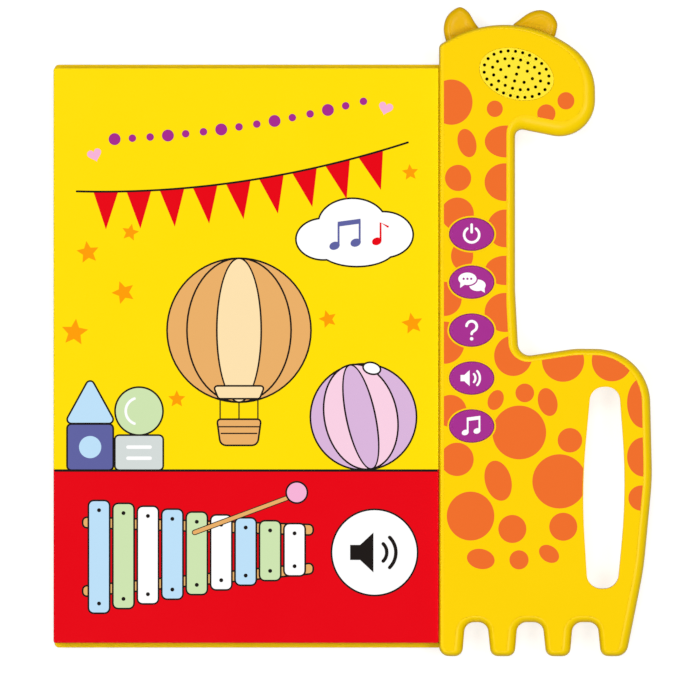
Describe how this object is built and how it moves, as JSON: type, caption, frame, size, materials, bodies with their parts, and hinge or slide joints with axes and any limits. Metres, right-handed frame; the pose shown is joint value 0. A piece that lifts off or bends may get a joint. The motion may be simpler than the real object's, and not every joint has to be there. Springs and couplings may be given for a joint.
{
  "type": "sound book",
  "caption": "Children's hardcover sound book in a moulded tray, with a giraffe-shaped carrying sound module, five buttons and a speaker at its side.",
  "frame": {"origin": "middle of the underside's bounding box, on the surface that the closed book lies on", "axes": "+Y towards the head of the giraffe and the top of the book, +X towards the sound module, +Z out of the front cover"},
  "size_m": [0.2692, 0.292, 0.0205],
  "materials": {
    "shell_plastic": "gloss",
    "grille_plastic": "satin",
    "printed_film": "gloss",
    "ear_plastic": "gloss",
    "button_plastic": "gloss",
    "cover_board": "gloss",
    "page_card": "matte",
    "screw_steel": "satin",
    "keypad_rubber": "matte",
    "circuit_laminate": "satin",
    "chip_resin": "satin",
    "sensor_film": "satin",
    "cone_paper": "matte",
    "cell_jacket": "gloss",
    "lead_jacket": "satin"
  },
  "bodies": {
    "housing": {"rear_shell": "shell_plastic", "front_shell": "shell_plastic", "face_film": "printed_film", "speaker_grille": "grille_plastic", "ear_left": "ear_plastic", "ear_right": "ear_plastic", "housing_screw_1": "screw_steel", "housing_screw_2": "screw_steel", "housing_screw_3": "screw_steel", "housing_screw_4": "screw_steel", "housing_screw_5": "screw_steel", "housing_screw_6": "screw_steel", "battery_door": "shell_plastic", "door_screw": "screw_steel", "keypad": "keypad_rubber", "circuit_board": "circuit_laminate", "sound_chip": "chip_resin", "speaker_frame": "screw_steel", "speaker_cone": "cone_paper", "speaker_magnet": "screw_steel", "battery_1": "cell_jacket", "battery_2": "cell_jacket", "battery_3": "cell_jacket", "contact_plate_left": "screw_steel", "contact_plate_right": "screw_steel", "speaker_lead": "lead_jacket", "battery_lead": "lead_jacket", "sensor_ribbon": "sensor_film", "sensor_sheet": "sensor_film", "back_board": "cover_board", "spine_strip": "cover_board", "page_block": "page_card"},
    "front_cover": {"front_board": "cover_board", "front_endpaper": "page_card"},
    "power_button": {"button_power": "button_plastic"},
    "language_button": {"button_language": "button_plastic"},
    "quiz_button": {"button_quiz": "button_plastic"},
    "volume_button": {"button_volume": "button_plastic"},
    "songs_button": {"button_songs": "button_plastic"}
  },
  "joints": [
    {"name": "cover_hinge", "type": "hinge", "parent": "housing", "child": "front_cover", "pos_m": [-0.13472, -0.01065, 0.01525], "axis": [0, -1, 0], "range_deg": [0, 180]},
    {"name": "power_press", "type": "slide", "parent": "housing", "child": "power_button", "axis": [0, 0, -1], "range_m": [0, 0.001], "stiffness_N_per_m": 500, "springref_m": -0.001, "deforming": ["keypad"]},
    {"name": "language_press", "type": "slide", "parent": "housing", "child": "language_button", "axis": [0, 0, -1], "range_m": [0, 0.001], "stiffness_N_per_m": 500, "springref_m": -0.001, "deforming": ["keypad"]},
    {"name": "quiz_press", "type": "slide", "parent": "housing", "child": "quiz_button", "axis": [0, 0, -1], "range_m": [0, 0.001], "stiffness_N_per_m": 500, "springref_m": -0.001, "deforming": ["keypad"]},
    {"name": "volume_press", "type": "slide", "parent": "housing", "child": "volume_button", "axis": [0, 0, -1], "range_m": [0, 0.001], "stiffness_N_per_m": 500, "springref_m": -0.001, "deforming": ["keypad"]},
    {"name": "songs_press", "type": "slide", "parent": "housing", "child": "songs_button", "axis": [0, 0, -1], "range_m": [0, 0.001], "stiffness_N_per_m": 500, "springref_m": -0.001, "deforming": ["keypad"]}
  ]
}
